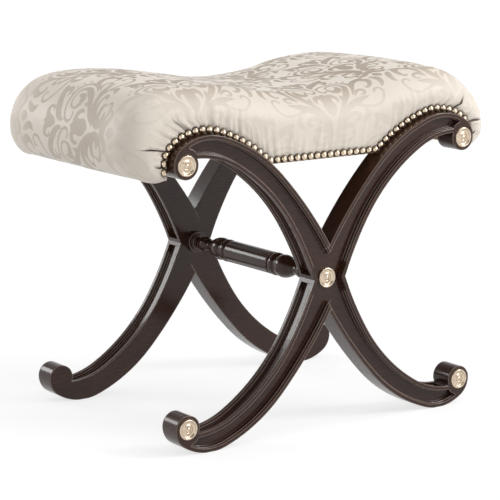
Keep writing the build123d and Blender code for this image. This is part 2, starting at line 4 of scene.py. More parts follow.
import bpy
import numpy as np
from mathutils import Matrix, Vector


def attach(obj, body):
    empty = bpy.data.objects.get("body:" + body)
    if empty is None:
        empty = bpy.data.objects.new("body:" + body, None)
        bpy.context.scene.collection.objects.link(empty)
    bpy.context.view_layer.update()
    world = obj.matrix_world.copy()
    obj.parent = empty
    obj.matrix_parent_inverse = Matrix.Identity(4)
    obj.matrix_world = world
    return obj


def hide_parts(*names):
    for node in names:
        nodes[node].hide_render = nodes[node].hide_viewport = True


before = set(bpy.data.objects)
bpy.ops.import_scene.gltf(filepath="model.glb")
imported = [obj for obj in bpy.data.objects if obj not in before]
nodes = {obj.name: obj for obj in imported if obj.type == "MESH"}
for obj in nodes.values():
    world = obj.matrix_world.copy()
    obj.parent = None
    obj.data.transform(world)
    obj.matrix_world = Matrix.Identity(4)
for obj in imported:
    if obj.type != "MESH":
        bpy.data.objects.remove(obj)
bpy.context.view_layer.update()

# Sizes of the part that the cloth follows, in millimetres
MM = 0.001
crossing_half_width = 28.0
crossing_z = 227.0
scroll_z = 415.0
scroll_edge_x = 270.0
arch_x, arch_z = 211.0, 454.5
convex_lift = 19.8           # degrees by which the arm sets out above the straight line to its arch
convex_shares = (0.271, 0.435)
convex_bend = 0.75
drop_shares = (0.375, 0.0)
board_z = 401.5
crest_x, crest_z = 222.0, 512.0
saddle_dip = 24.5
roll_x, roll_z = 322.0, 441.0
roll_floor = 397.0
roll_under_x = 284.0
roll_shares = (0.45, 0.0)
roll_steps = 60
roll_end_gap = 1.0           # from the scroll to the end of the roll's underside
arm_gap = 0.6                # from the arm to the edge of the cloth above it or below it
front_y = 178.0
board_face = 176.3           # just in front of the seat boards
edge_radius = 36.0
crown = 6.5
side_bulge = 3.0
inner_y = 159.0
nail_offset = 5.8
nail_pitch = 11.8
same_point = 1e-6

# An arc is held by its centre, its signed radius and its headings in degrees.
Arc = namedtuple("Arc", "x z radius start finish")


def left_of(heading):
    return (-sin(radians(heading)), cos(radians(heading)))


def arc_point(arc, heading):
    side = left_of(heading)
    return (arc.x + arc.radius * side[0], arc.z + arc.radius * side[1])


def arc_from(start, heading, finish, radius):
    side = left_of(heading)
    return Arc(start[0] - radius * side[0], start[1] - radius * side[1], radius, heading, finish)


def arc_run(start, heading, end, finish, shares, middle_radius):
    """Three tangent arcs between two points, the first and last radius worked out."""
    turn = heading - finish
    knee = heading - shares[0] * turn
    hip = knee - shares[1] * turn
    stops = [left_of(angle) for angle in (heading, knee, hip, finish)]
    steps = [(after[0] - before[0], after[1] - before[1]) for before, after in zip(stops, stops[1:])]
    rest_x = end[0] - start[0] - middle_radius * steps[1][0]
    rest_z = end[1] - start[1] - middle_radius * steps[1][1]
    area = steps[0][0] * steps[2][1] - steps[0][1] * steps[2][0]
    first_radius = (rest_x * steps[2][1] - rest_z * steps[2][0]) / area
    last_radius = (steps[0][0] * rest_z - steps[0][1] * rest_x) / area
    first = arc_from(start, heading, knee, first_radius)
    middle = arc_from(arc_point(first, knee), knee, hip, middle_radius)
    last = arc_from(arc_point(middle, hip), hip, finish, last_radius)
    return [arc for arc in (first, middle, last) if arc.start != arc.finish]


def sampled(arcs, shift=0.0, step=0.5):
    """Points along arcs, moved to their left by a shift."""
    points = []
    for arc in arcs:
        arc = arc._replace(radius=arc.radius + shift)
        count = max(2, int(abs(arc.radius * radians(arc.start - arc.finish)) / step) + 1)
        points += [arc_point(arc, heading) for heading in np.linspace(arc.start, arc.finish, count)]
    return points


class Way:
    """A polyline with its running length."""

    def __init__(self, points):
        points = np.array(points, float)
        moves = np.hypot(*np.diff(points, axis=0).T)
        points = points[np.concatenate([[True], moves > same_point])]
        self.points = points
        self.length = np.concatenate([[0], np.cumsum(np.hypot(*np.diff(points, axis=0).T))])
        way = np.gradient(points, self.length, axis=0)
        way /= np.linalg.norm(way, axis=1)[:, None]
        self.inward = np.stack([way[:, 1], -way[:, 0]], 1)
        self.widest = int(np.argmax(points[:, 0])) + 1

    def at(self, length):
        return np.stack([np.interp(length, self.length, column) for column in self.points.T], -1)

    def inside(self, length):
        return np.stack([np.interp(length, self.length, column) for column in self.inward.T], -1)

    def at_x(self, x):
        return np.interp(x, self.points[: self.widest, 0], self.length[: self.widest])


arm_start = (-crossing_half_width, crossing_z)
arm_rise = (arch_x - arm_start[0], arch_z - arm_start[1])
arm_top = arc_run(
    arm_start,
    degrees(atan2(arm_rise[1], arm_rise[0])) + convex_lift,
    (arch_x, arch_z),
    0,
    convex_shares,
    convex_bend * hypot(*arm_rise),
) + arc_run((arch_x, arch_z), 0, (scroll_edge_x, scroll_z), -90, drop_shares, 0)


def seat_way():
    """Half outline of the seat, from the dip over the crest and round the roll to its underside."""
    slope = 2 * degrees(atan2(saddle_dip, crest_x))
    wave = crest_x / (2 * sin(radians(slope)))
    dip = arc_from((0, crest_z - saddle_dip), 0, slope, -wave)
    crest = arc_from(arc_point(dip, slope), slope, 0, wave)
    roll = arc_run((crest_x, crest_z), 0, (roll_x, roll_z), -90, roll_shares, 0)
    points = sampled([dip, crest] + roll)
    under = roll_x - roll_under_x
    for turn in np.linspace(0, pi / 2, roll_steps):
        points.append((roll_under_x + under * cos(turn), roll_floor + under * (1 - sin(turn))))
    points.append((scroll_edge_x + roll_end_gap, roll_floor))
    return Way(points)


def edge_way(offset, row_z):
    """Half of the lower edge: a straight row, then over the arm and down past its scroll."""
    points = [point for point in sampled(arm_top, offset) if point[1] > row_z and point[0] > 0]
    return Way([(0, row_z)] + points + [(scroll_edge_x + offset, roll_floor)])


outer = seat_way()
inner = edge_way(arm_gap, board_z)

# Soft noise along a line or over a plane, from seeded tables that repeat
TABLE_LENGTH = 512
TABLE_SIDE = 64
TABLE_START = 1000.0


def eased(part):
    return part * part * (3 - 2 * part)


def smooth(value, low, high):
    """0 below a span, 1 above it and a soft step between."""
    return eased(np.clip((value - low) / (high - low), 0, 1))


def between(grid, column, row, right, up):
    """Values of a repeating grid, blended from the four neighbours of each place."""
    columns, rows = grid.shape
    next_column = (column + 1) % columns
    next_row = (row + 1) % rows
    column = column % columns
    row = row % rows
    low = grid[column, row] * (1 - right) + grid[next_column, row] * right
    high = grid[column, next_row] * (1 - right) + grid[next_column, next_row] * right
    return low * (1 - up) + high * up


def line_noise(place, wavelength, seed):
    """Smooth noise from -1 to 1 along a line."""
    values = np.random.default_rng(seed).uniform(-1, 1, TABLE_LENGTH)
    place = np.asarray(place, float) / wavelength + TABLE_START
    cell = np.floor(place).astype(int)
    part = eased(place - cell)
    return values[cell % TABLE_LENGTH] * (1 - part) + values[(cell + 1) % TABLE_LENGTH] * part


def plane_noise(across, along, wavelength, seed):
    """Smooth noise from -1 to 1 over a plane."""
    values = np.random.default_rng(seed).uniform(-1, 1, (TABLE_SIDE, TABLE_SIDE))
    across = across / wavelength + TABLE_START
    along = along / wavelength + TABLE_START
    column = np.floor(across).astype(int)
    row = np.floor(along).astype(int)
    return between(values, column, row, eased(across - column), eased(along - row))


# Damask motif: a palmette in a heart of scrolls. Each stroke of its right half has points
# (across, along, half width) in millimetres from the middle of the motif.
finial = [
    [(0, 86, 0.4), (0, 79, 3.6), (0, 72, 7.6), (0, 64, 7.2), (0, 57, 4.2), (0, 51, 0.4)],
    [(3, 72, 5), (10, 79, 4.4), (16, 79, 3), (18.5, 71, 2), (15.5, 65.5, 1.6), (12, 67, 1.2)],
]
upper_leaf = [
    [(4, 31, 0.4), (5.5, 41, 3.2), (11, 50, 5.6), (20, 58, 6.4), (30, 65, 5.8), (40, 71, 5.2),
     (47, 75, 3.4), (52, 78, 0.6)],
    [(42, 69, 5.6), (46, 61, 4.4), (43, 54.5, 2.8), (37.5, 54, 2.2), (34.5, 56.5, 1.4)],
]
heart = [
    [(16, 15.5, 1.6), (11, 12.5, 1.9), (5.5, 15.5, 2), (4, 21.5, 1.9), (6.5, 28.5, 1.9), (14, 35.5, 2),
     (24, 40.7, 2), (34, 43, 2.1), (44, 43, 2.3), (53, 40, 2.6), (59.5, 33, 2.9), (61.5, 24, 3.1),
     (59.5, 12, 2.9), (54.5, 1, 2), (48, -7, 0.4)],
    [(20, 21.5, 1.4), (24.5, 30, 1.8), (33, 35, 1.9), (42.5, 34.5, 2.3), (49, 28, 2.9), (50, 18, 3.8),
     (46, 8, 4.8), (39.5, -2, 5), (31.5, -11.5, 3.8), (22, -20.5, 2.5), (13, -29, 1.5),
     (6.5, -36.5, 0.4)],
    [(21, 20, 1.3), (22, 14.5, 2.4), (27, 10.5, 4), (33.5, 11.5, 5.4), (38, 16.5, 4.4), (39, 24, 2.4),
     (35.5, 28, 0.6)],
    [(26, 0.5, 0.8), (28.5, -4, 2.2), (25.5, -10.5, 1.2)],
]
bud = [
    [(0, 10, 0.4), (0, 5, 3.4), (0, 0, 7.4), (0, -6, 9.4), (0, -12, 9), (0, -18, 10.6), (0, -24, 8.6),
     (0, -30, 4), (0, -35, 0.4)],
    [(4, -1, 5), (12, 1.5, 4.6), (18, -3.5, 3.8), (19.2, -10, 2.2), (17, -15, 0.6)],
]
side_scroll = [
    [(48, -6, 0.4), (56, 3, 2.2), (62, 13, 3.4), (67.5, 21, 4.6), (75, 27, 5.4), (84, 30, 5),
     (91, 31, 3), (97, 32, 0.5)],
    [(85, 27, 4.8), (91.5, 19, 5.2), (92.5, 10.5, 4.2), (88, 4, 2.8), (82.5, 2, 2.2), (79, 4.5, 1.4)],
    [(101.5, 25, 0.8), (106, 18, 4), (110, 8.5, 4.8), (109, 0, 3.4), (103.5, -6, 0.8)],
    [(50, -11, 0.5), (57, -3, 1.8), (63, 1.5, 2.4), (70, 0.5, 2.6), (72.5, -4.5, 2.4), (68, -8.5, 2),
     (63, -8, 1.5)],
    [(3, -45, 0.8), (9, -38.5, 2.4), (19, -31, 3.8), (30, -25, 4.6), (41, -20.5, 5), (52, -17.5, 4.6),
     (63, -15.5, 3.2), (75, -14.5, 0.6)],
    [(44, -22, 3.4), (55, -27, 2.4), (66, -30, 2), (76, -31.5, 2), (86, -30, 2), (94, -24.5, 2.1),
     (99, -16.5, 2.1), (98.5, -9, 1.9), (93, -5.5, 1.9), (87, -7.5, 2.1), (86, -11.5, 1.5)],
    [(54, -32.5, 0.8), (59.5, -37, 3.8), (57, -43, 4.2), (49, -50, 0.4)],
]
lower_leaf = [
    [(38, -45, 1.5), (43.5, -42, 2.7), (44, -37, 3), (36, -34.5, 3), (27, -36, 3.4), (18, -40.5, 4),
     (10.5, -47, 4.6), (6.5, -55, 5), (7, -62.5, 4.6), (11.5, -69, 3.8), (19, -72.5, 2.9),
     (27, -72, 2.5), (33.5, -67.5, 2.5), (35, -62, 2.2), (30.5, -59, 1.4)],
    [(9, -57, 2.4), (16.5, -52, 3.4), (24.5, -50, 4), (31, -51.5, 2.8), (31.5, -55.5, 1)],
    [(10, -62, 2.8), (17, -63.5, 3), (23, -62, 0.8)],
]
pendant = [
    [(0, -68.5, 0.8), (0, -73, 5.6), (0, -76.5, 5.6)],
    [(5, -75.5, 4.6), (10.5, -80.5, 4.4), (17, -84, 4.6), (23, -82, 2.8), (25, -77, 1.6)],
    [(0, -91.5, 5.8), (0, -95, 6.8), (0, -100, 4.2), (0, -105, 0.4)],
]
dots = [(39.5, 48.5, 1.7), (50, 50.5, 2.3), (59, 47, 2.7), (66, 40.5, 2.8)]

MOTIF_STEP = 0.8
MOTIF_REACH = 120
DISC_STEP = 0.9
FAR = 6.0                    # distances past this are cut off
UNREACHED = 1e3
LAST_CELL = 1.001            # keeps a place inside the last cell of a grid
LAST_STROKE = 1e-9           # and inside the last span of a stroke


def stroke_discs(points):
    """Discs along a smooth curve through points: columns are across, along and radius."""
    points = np.array(points, float)
    ends = np.vstack([2 * points[0] - points[1], points, 2 * points[-1] - points[-2]])
    reach = np.sum(np.hypot(*np.diff(points[:, :2], axis=0).T))
    place = np.linspace(0, len(points) - 1 - LAST_STROKE, int(reach / DISC_STEP) + 2)
    cell = np.floor(place).astype(int)
    part = (place - cell)[:, None]
    before, start, finish, after = (ends[cell + shift] for shift in range(4))
    bend = (2 * before - 5 * start + 4 * finish - after) * part**2
    twist = (3 * start - before - 3 * finish + after) * part**3
    return 0.5 * (2 * start + (finish - before) * part + bend + twist)


def motif_discs():
    groups = (finial, upper_leaf, heart, bud, side_scroll, lower_leaf, pendant)
    return np.vstack([stroke_discs(points) for group in groups for points in group] + [np.array(dots)])


def disc_distance(across, along, discs):
    best = np.full(across.shape, UNREACHED)
    for disc_across, disc_along, radius in discs:
        np.minimum(best, np.hypot(across - disc_across, along - disc_along) - radius, out=best)
    return best


def motif_field():
    """Distance to the edge of the motif over its right half, negative inside."""
    across, along = np.meshgrid(
        np.arange(0, MOTIF_REACH + MOTIF_STEP / 2, MOTIF_STEP),
        np.arange(-MOTIF_REACH, MOTIF_REACH + MOTIF_STEP / 2, MOTIF_STEP),
        indexing="ij",
    )
    discs = motif_discs()
    near = np.minimum(disc_distance(across, along, discs), disc_distance(-across, along, discs))
    return np.clip(near, -FAR, FAR)


def motif_at(across, along):
    """Distance to the nearest motif of the half-drop repeat, with its columns a reach apart."""
    field = motif_field()
    best = np.full(across.shape, FAR)
    first = np.floor(across / MOTIF_REACH).astype(int)
    for column in (first, first + 1):
        sideways = np.abs(across - column * MOTIF_REACH)
        upward = along - MOTIF_REACH * (column % 2)
        upward = upward - 2 * MOTIF_REACH * np.round(upward / (2 * MOTIF_REACH))
        x = np.clip(sideways / MOTIF_STEP, 0, field.shape[0] - LAST_CELL)
        y = np.clip((upward + MOTIF_REACH) / MOTIF_STEP, 0, field.shape[1] - LAST_CELL)
        cell_x = np.floor(x).astype(int)
        cell_y = np.floor(y).astype(int)
        best = np.minimum(best, between(field, cell_x, cell_y, x - cell_x, y - cell_y))
    return best


# Seat cover: a grid across the seat and along it, from the front edge over the top to the rear edge
column_step = 2.6
fine_step = 0.5
fine_reach = 4.0
fine_end = 0.01
face_rows = 28
round_rows = 21
top_rows = 110
hem = 3.0                    # the lower edge turns in by this much
on_face = 0.01
least_length = 1e-9
vertical_to = 185.0          # columns of the front face are upright up to here
left_fuller = 13.0           # the hand-stuffed rolls differ a little
right_fuller = -8.0
fuller_span = (225, 320)     # across the seat, where that difference sets in
fuller_end = 75.0            # it falls off over this length, at the underside
fuller_loss = 0.7
radius_share = 0.6           # most of the height above the lower edge that the round edge takes
side_span = (215, 345)       # across the seat, where the top turns into the side
bulge_end = 60.0             # the side's bulge falls off over this length, at the underside
face_bulge = 3.2
face_span = (5, 25)          # heights of the front face from which it is flat to fully bulged
# Pleats: place across, length and bow towards the middle of the seat
pleats = (
    (-277.0, 42.0, 4.0),
    (-361.0, 46.0, 0.0),
    (-408.0, 17.0, 0.0),
    (282.0, 42.0, 4.0),
    (364.0, 40.0, 0.0),
    (408.0, 14.0, 0.0),
)
pleat_fade = (0.45, 1.12)    # shares of the length
pleat_span = (2, 8)
lap_height = 2.2
lap_reach = 6.0
crease_depth = 5.0
crease_width = 1.2
crease_sink = 0.8
# Soft unevenness: height, wavelength and seed
unevenness = ((0.5, 70, 3), (0.25, 31, 4))
uneven_span = (5, 40)
# Gathers above the nails: a mean, how much it varies and over what length
gather_seeds = {False: 11, True: 61}    # front and rear
lean_share, lean_wave = 0.10, 45
rise, rise_change, rise_wave = 22, 12, 17
depth, depth_change, depth_wave = 0.95, 0.5, 60
close_wave = 4.6
wide_share, wide_wave = 0.7, 8.3
pitch_share = 0.5
gather_span = (0, 6)
fine_rise, fine_change, fine_wave = 25, 15, 9
fine_span = (1, 7)
# Pull of the nails: depth and reach. Then the painted shade around each nail: its darkness and reach
row_pulls = ((0.7, 5.0), (0.6, 16.0))
nail_pull, nail_reach = 3.2, 6.6
nail_shade, shade_reach = 0.8, 6.9
# Cloth simulation
coarse_columns = 150
coarse_rows = 72
slack = 0.008                # extra length of the cloth over the stuffing
settle_frames = 20
settle_most = 4.0            # most that the cloth may rise off the foam
foam_give = 0.5              # most that it may sink into it
blur_passes = 6
# Damask: its place on the seat, and how its contrast falls off towards the rolls and the front face, which
# is painted sheen
motif_centre = (16.7, -155.0)
roll_span = (235, 310)
roll_shift = 40
roll_fade = 0.45
fade_span = (116, 194)
fade_most = 0.86
fade_least = 0.1


def column_places():
    """Places of the columns across the seat, closer together at the pleats."""
    end = outer.length[-1]
    places = list(np.linspace(-end, end, int(2 * end / column_step) + 1))
    for pleat, _, bow in pleats:
        middle = pleat - np.sign(pleat) * bow / 2
        reach = fine_reach + abs(bow) / 2
        places = [place for place in places if abs(place - middle) > reach]
        places += list(np.arange(middle - reach, middle + reach + fine_end, fine_step))
    return np.array(sorted(place for place in places if -end <= place <= end))


def cover_grid():
    """Points of the cover in millimetres, with the place of each across, along and up the front face."""
    across = column_places()
    away = np.abs(across)
    end = outer.length[-1]
    hand = np.where(across < 0, -1.0, 1.0)
    inward = outer.inside(away)
    fuller = np.where(across < 0, left_fuller, right_fuller) * smooth(away, *fuller_span)
    fuller *= 1 - fuller_loss * smooth(away, end - fuller_end, end)
    outline = outer.at(away) - inward * fuller[:, None]
    upright = outer.at_x(vertical_to)
    edge_upright = inner.at_x(vertical_to)
    fanned = edge_upright + (away - upright) / (end - upright) * (inner.length[-1] - edge_upright)
    edge = np.where(away <= upright, inner.at_x(outline[:, 0]), fanned)
    lower = inner.at(edge)
    radius = np.minimum(edge_radius, radius_share * np.linalg.norm(outline - lower, axis=1))
    upper = outline + inward * radius[:, None]
    face_length = np.linalg.norm(upper - lower, axis=1)
    half_top = front_y - radius
    quarter = radius * pi / 2
    far = half_top + quarter + face_length
    level = 0 * away
    side = smooth(away, *side_span)
    under = np.clip((end - away) / bulge_end, 0, 1)
    rows = []

    def add(section, y, along, up):
        swell = 1 - np.clip(np.abs(y) / front_y, 0, 1) ** 2
        x = section[:, 0] + side_bulge * swell * side * under
        z = section[:, 1] + crown * swell * (1 - side)
        rows.append((np.column_stack([hand * x, y + level, z]), along, up))

    def face_and_edge(sign):
        """Rows from the lower edge up the face and round the edge to the top."""
        part = []
        for share in np.linspace(0, 1, face_rows):
            section = lower + (upper - lower) * share
            up = face_length * share
            part.append((section, sign * front_y + level, sign * (far - up), up))
        for turn in np.linspace(0, pi / 2, round_rows + 1)[1:]:
            section = outline + inward * (radius * (1 - sin(turn)))[:, None]
            y = sign * (front_y - radius * (1 - cos(turn)))
            along = sign * (half_top + radius * (pi / 2 - turn))
            part.append((section, y, along, face_length + radius * turn))
        return part

    add(lower, -(front_y - hem) + level, -far - hem, level - hem)
    for row in face_and_edge(-1):
        add(*row)
    for share in np.linspace(-1, 1, top_rows + 1)[1:-1]:
        add(outline, share * half_top, share * half_top, face_length + quarter + (1 - abs(share)) * half_top)
    for row in reversed(face_and_edge(1)):
        add(*row)
    add(lower, front_y - hem + level, far + hem, level - hem)
    points, along, up = (np.stack(values, 1) for values in zip(*rows))
    return points, across, along, up, hand * edge


def grid_normals(points):
    normal = np.cross(np.gradient(points, axis=0), np.gradient(points, axis=1))
    return normal / np.maximum(np.linalg.norm(normal, axis=2, keepdims=True), least_length)


def nail_places(name):
    """Middles of the nails of a node, in millimetres."""
    mesh = nodes[name].data
    first = list(range(len(mesh.vertices)))

    def root_of(index):
        while first[index] != index:
            first[index] = first[first[index]]
            index = first[index]
        return index

    for one, other in mesh.edge_keys:
        first[root_of(one)] = root_of(other)
    groups = {}
    for vertex in mesh.vertices:
        groups.setdefault(root_of(vertex.index), []).append(vertex.co)
    return [np.mean(group, axis=0) / MM for group in groups.values()]


def gathers(edge, up, above, seed):
    """Height of the gathers, which rise from the nails, fade out at uneven heights and lean a little.
    Also how finely gathered each place is, from 0 to 1."""
    lean = edge + above * lean_share * line_noise(edge, lean_wave, seed)
    height = rise + rise_change * line_noise(lean, rise_wave, seed + 1)
    fold = line_noise(lean, close_wave, seed + 2) + wide_share * line_noise(lean, wide_wave, seed + 3)
    fold = fold + pitch_share * np.cos(2 * pi * lean / nail_pitch)
    strength = depth + depth_change * line_noise(lean, depth_wave, seed + 4)
    clear = np.clip(above, 0, None)
    gather = strength * fold * np.exp(-(clear**2) / (2 * height**2)) * smooth(up, *gather_span)
    fine_height = fine_rise + fine_change * line_noise(lean, fine_wave, seed + 5)
    fine = np.exp(-((clear / fine_height) ** 2)) * smooth(up, *fine_span)
    return gather, fine


def pleat_fold(off):
    """A fold that laps over a sharp crease, by the distance past the crease."""
    lap = lap_height * np.exp(off / lap_reach)
    crease = -crease_depth * np.exp(-((off / crease_width) ** 2)) - crease_sink * np.exp(-off / lap_reach)
    return np.where(off < 0, lap, crease)


def fabric_relief(points, across, along, up, edge):
    """Height of gathers, pleats, puckers and soft unevenness over the smooth cover. Also how much painted
    shade each place gets in a crease or around a nail, and how finely gathered it is, both from 0 to 1."""
    sideways = across[:, None] + 0 * along
    along_edge = edge[:, None] + 0 * along
    above = up - nail_offset
    relief = sum(height * plane_noise(sideways, along, wave, seed) for height, wave, seed in unevenness)
    relief *= smooth(up, *uneven_span)
    pull = np.zeros(along.shape)
    for rear, seed in gather_seeds.items():
        gather, fine = gathers(along_edge, up, above, seed)
        relief += np.where((along > 0) == rear, gather, 0)
        pull += np.where((along > 0) == rear, fine, 0)
    # The nails pull the cloth in
    relief -= sum(sink * np.exp(-((above / reach) ** 2)) for sink, reach in row_pulls)
    near = np.full(along.shape, UNREACHED)
    for name in ("front_nails", "rear_nails"):
        for place in nail_places(name):
            np.minimum(near, np.linalg.norm(points - place, axis=2), out=near)
    relief -= nail_pull * np.exp(-((near / nail_reach) ** 4))
    # Painted shade around each nail
    painted_shade = nail_shade * np.exp(-((near / shade_reach) ** 6))
    for pleat, length, bow in pleats:
        lap = -np.sign(pleat)
        bend = lap * bow * np.sin(pi * np.clip(above / length, 0, 1))
        off = (sideways - pleat - bend) * lap
        reach = 1 - smooth(above, pleat_fade[0] * length, pleat_fade[1] * length)
        relief += pleat_fold(off) * reach * smooth(up, *pleat_span)
        # Painted shade along the crease of each pleat
        painted_shade = np.maximum(painted_shade, reach * np.exp(-((off / crease_width) ** 2)) * smooth(up, *pleat_span))
    return relief, painted_shade, pull


def make_mesh(name, points, uv=None):
    """Grid of points, in millimetres, as a smooth mesh object."""
    columns, rows = points.shape[:2]
    index = np.arange(columns * rows).reshape(columns, rows)
    quads = np.stack([index[:-1, :-1], index[1:, :-1], index[1:, 1:], index[:-1, 1:]], -1).reshape(-1, 4)
    mesh = bpy.data.meshes.new(name)
    mesh.from_pydata((points.reshape(-1, 3) * MM).tolist(), [], quads.tolist())
    mesh.polygons.foreach_set("use_smooth", [True] * len(mesh.polygons))
    if uv is not None:
        layer = mesh.uv_layers.new(name="Cloth")
        corner = np.zeros(len(mesh.loops), int)
        mesh.loops.foreach_get("vertex_index", corner)
        layer.data.foreach_set("uv", uv.reshape(-1, 2)[corner].ravel())
    mesh.update()
    piece = bpy.data.objects.new(name, mesh)
    bpy.context.scene.collection.objects.link(piece)
    return piece


def set_attribute(piece, name, values):
    layer = piece.data.attributes.new(name, "FLOAT", "POINT")
    layer.data.foreach_set("value", np.ascontiguousarray(values, np.float32).ravel())


def spread(values, kept, count, axis):
    """Values at every place along one axis of a grid, from those at the kept places."""
    places = np.arange(count)
    return np.apply_along_axis(lambda line: np.interp(places, kept, line), axis, values)


def blurred(values, passes):
    """Values on the grid, smoothed along both ways with the borders kept."""
    for _ in range(passes):
        values[1:-1] = (values[:-2] + 2 * values[1:-1] + values[2:]) / 4
        values[:, 1:-1] = (values[:, :-2] + 2 * values[:, 1:-1] + values[:, 2:]) / 4
    return values


def stuff_cloth(piece):
    """Cloth that is stuffed from inside and held at its nailed border."""
    cloth = piece.modifiers.new("Cloth", "CLOTH")
    cloth.settings.quality = 6
    cloth.settings.mass = 0.3
    cloth.settings.tension_stiffness = 20
    cloth.settings.compression_stiffness = 20
    cloth.settings.bending_stiffness = 0.6
    cloth.settings.shrink_min = -slack
    cloth.settings.use_pressure = True
    cloth.settings.uniform_pressure_force = 4
    cloth.settings.vertex_group_mass = "held"
    cloth.settings.effector_weights.gravity = 0
    cloth.collision_settings.use_collision = False
    cloth.point_cache.frame_start = 1
    cloth.point_cache.frame_end = settle_frames


def settled(points):
    """The cover after a short cloth simulation of a coarse copy."""
    columns, rows = points.shape[:2]
    kept_columns = np.unique(np.linspace(0, columns - 1, coarse_columns).astype(int))
    kept_rows = np.unique(np.linspace(0, rows - 1, coarse_rows).astype(int))
    start = points[np.ix_(kept_columns, kept_rows)]
    piece = make_mesh("settling", start)
    border = np.ones(start.shape[:2], bool)
    border[1:-1, 2:-2] = False
    held = piece.vertex_groups.new(name="held")
    held.add(np.flatnonzero(border).tolist(), 1.0, "REPLACE")
    stuff_cloth(piece)
    for step in range(1, settle_frames + 1):
        bpy.context.scene.frame_set(step)
    shape = piece.evaluated_get(bpy.context.evaluated_depsgraph_get()).data
    finish = np.zeros(3 * len(shape.vertices))
    shape.vertices.foreach_get("co", finish)
    moved = finish.reshape(start.shape) / MM - start
    outward = np.sum(moved * grid_normals(start), axis=2, keepdims=True)
    moved = grid_normals(start) * np.clip(outward, -foam_give, settle_most)
    bpy.data.objects.remove(piece)
    bpy.context.scene.frame_set(1)
    full = spread(spread(moved, kept_columns, columns, 0), kept_rows, rows, 1)
    return points + blurred(full, blur_passes)


points, across, along, up, edge = cover_grid()
face = np.abs(np.abs(points[:, :, 1]) - front_y) < on_face
face_height = np.max(np.where(face, up, 0), axis=1)[:, None]
points = settled(points)
bulge = face_bulge * np.sin(pi * np.clip(up / (face_height + edge_radius), 0, 1))
bulge *= smooth(face_height, *face_span)
relief, painted_shade, pull = fabric_relief(points, across, along, up, edge)
points = points + grid_normals(points) * (relief + bulge)[:, :, None]
# The face of the cover stays in front of the seat boards
reach_y = np.sign(along) * np.maximum(np.abs(points[:, :, 1]), board_face)
points[:, :, 1] = np.where(face, reach_y, points[:, :, 1])
sideways = across[:, None] + 0 * along
cover = make_mesh("damask_cover", points, np.stack([sideways, along], -1) * MM)
roll = smooth(np.abs(sideways), *roll_span)
# Painted sheen: the motif's contrast is full on the top and fades on the rolls and the front face
sheen_contrast = 1 - fade_most * smooth(np.abs(along) + roll_shift * roll, *fade_span)
set_attribute(cover, "motif", motif_at(sideways - motif_centre[0], along - motif_centre[1]))
set_attribute(cover, "sheen_contrast", np.maximum(sheen_contrast * (1 - roll_fade * roll), fade_least))
set_attribute(cover, "painted_shade", painted_shade)
set_attribute(cover, "pull", pull)


# Helpers for node materials
def new_material(name):
    material = bpy.data.materials.new(name)
    material.use_nodes = True
    tree = material.node_tree
    return material, tree, tree.nodes["Principled BSDF"]


def add_node(tree, kind, **settings):
    made = tree.nodes.new(kind)
    for key, value in settings.items():
        if key.startswith("in_"):
            made.inputs[key[3:].replace("_", " ")].default_value = value
        else:
            setattr(made, key, value)
    return made


def attribute(tree, name):
    return add_node(tree, "ShaderNodeAttribute", attribute_name=name).outputs["Fac"]


def ramp(tree, source, stops):
    made = tree.nodes.new("ShaderNodeValToRGB")
    while len(made.color_ramp.elements) < len(stops):
        made.color_ramp.elements.new(0.5)
    for element, (place, colour) in zip(made.color_ramp.elements, stops):
        element.position = place
        element.color = (*colour, 1)
    tree.links.new(source, made.inputs["Fac"])
    return made.outputs["Color"]


def mapped(tree, scale=(1, 1, 1), source="Object", turn=(0, 0, 0), move=(0, 0, 0)):
    where = tree.nodes.new("ShaderNodeTexCoord")
    made = add_node(tree, "ShaderNodeMapping", in_Scale=scale, in_Rotation=turn, in_Location=move)
    tree.links.new(where.outputs[source], made.inputs["Vector"])
    return made.outputs["Vector"]


def noise(tree, vector, scale=1.0, detail=2.0, rough=0.55, twist=0.0):
    made = add_node(tree, "ShaderNodeTexNoise", in_Scale=scale, in_Detail=detail, in_Roughness=rough)
    made.inputs["Distortion"].default_value = twist
    tree.links.new(vector, made.inputs["Vector"])
    return made.outputs["Fac"]


def ranged(tree, source, span, to, kind="SMOOTHSTEP"):
    made = add_node(tree, "ShaderNodeMapRange", interpolation_type=kind)
    for key, value in zip(("From Min", "From Max", "To Min", "To Max"), (*span, *to)):
        made.inputs[key].default_value = value
    tree.links.new(source, made.inputs["Value"])
    return made.outputs["Result"]


def evenly(tree, source, span, to):
    return ranged(tree, source, span, to, "LINEAR")


def mixed(tree, share, first, second):
    made = add_node(tree, "ShaderNodeMix", data_type="RGBA")
    sockets = {socket.identifier: socket for socket in made.inputs}
    for name, value in (("A_Color", first), ("B_Color", second)):
        if isinstance(value, tuple):
            sockets[name].default_value = (*value, 1)
        else:
            tree.links.new(value, sockets[name])
    tree.links.new(share, sockets["Factor_Float"])
    return next(socket for socket in made.outputs if socket.identifier == "Result_Color")


def combined(tree, operation, first, second):
    made = add_node(tree, "ShaderNodeMath", operation=operation)
    tree.links.new(first, made.inputs[0])
    tree.links.new(second, made.inputs[1])
    return made.outputs["Value"]


def length_of(tree, vector):
    made = add_node(tree, "ShaderNodeVectorMath", operation="LENGTH")
    tree.links.new(vector, made.inputs[0])
    return made.outputs["Value"]


def parts_of(tree, vector):
    made = tree.nodes.new("ShaderNodeSeparateXYZ")
    tree.links.new(vector, made.inputs["Vector"])
    return made.outputs


def bumped(tree, height, strength, distance, normal=None):
    made = add_node(tree, "ShaderNodeBump", in_Strength=strength, in_Distance=distance)
    tree.links.new(height, made.inputs["Height"])
    if normal:
        tree.links.new(normal, made.inputs["Normal"])
    return made.outputs["Normal"]


def linear(red, green, blue):
    """Linear colour from an sRGB colour out of 255."""
    values = (red / 255, green / 255, blue / 255)
    return tuple(v / 12.92 if v <= 0.04045 else ((v + 0.055) / 1.055) ** 2.4 for v in values)


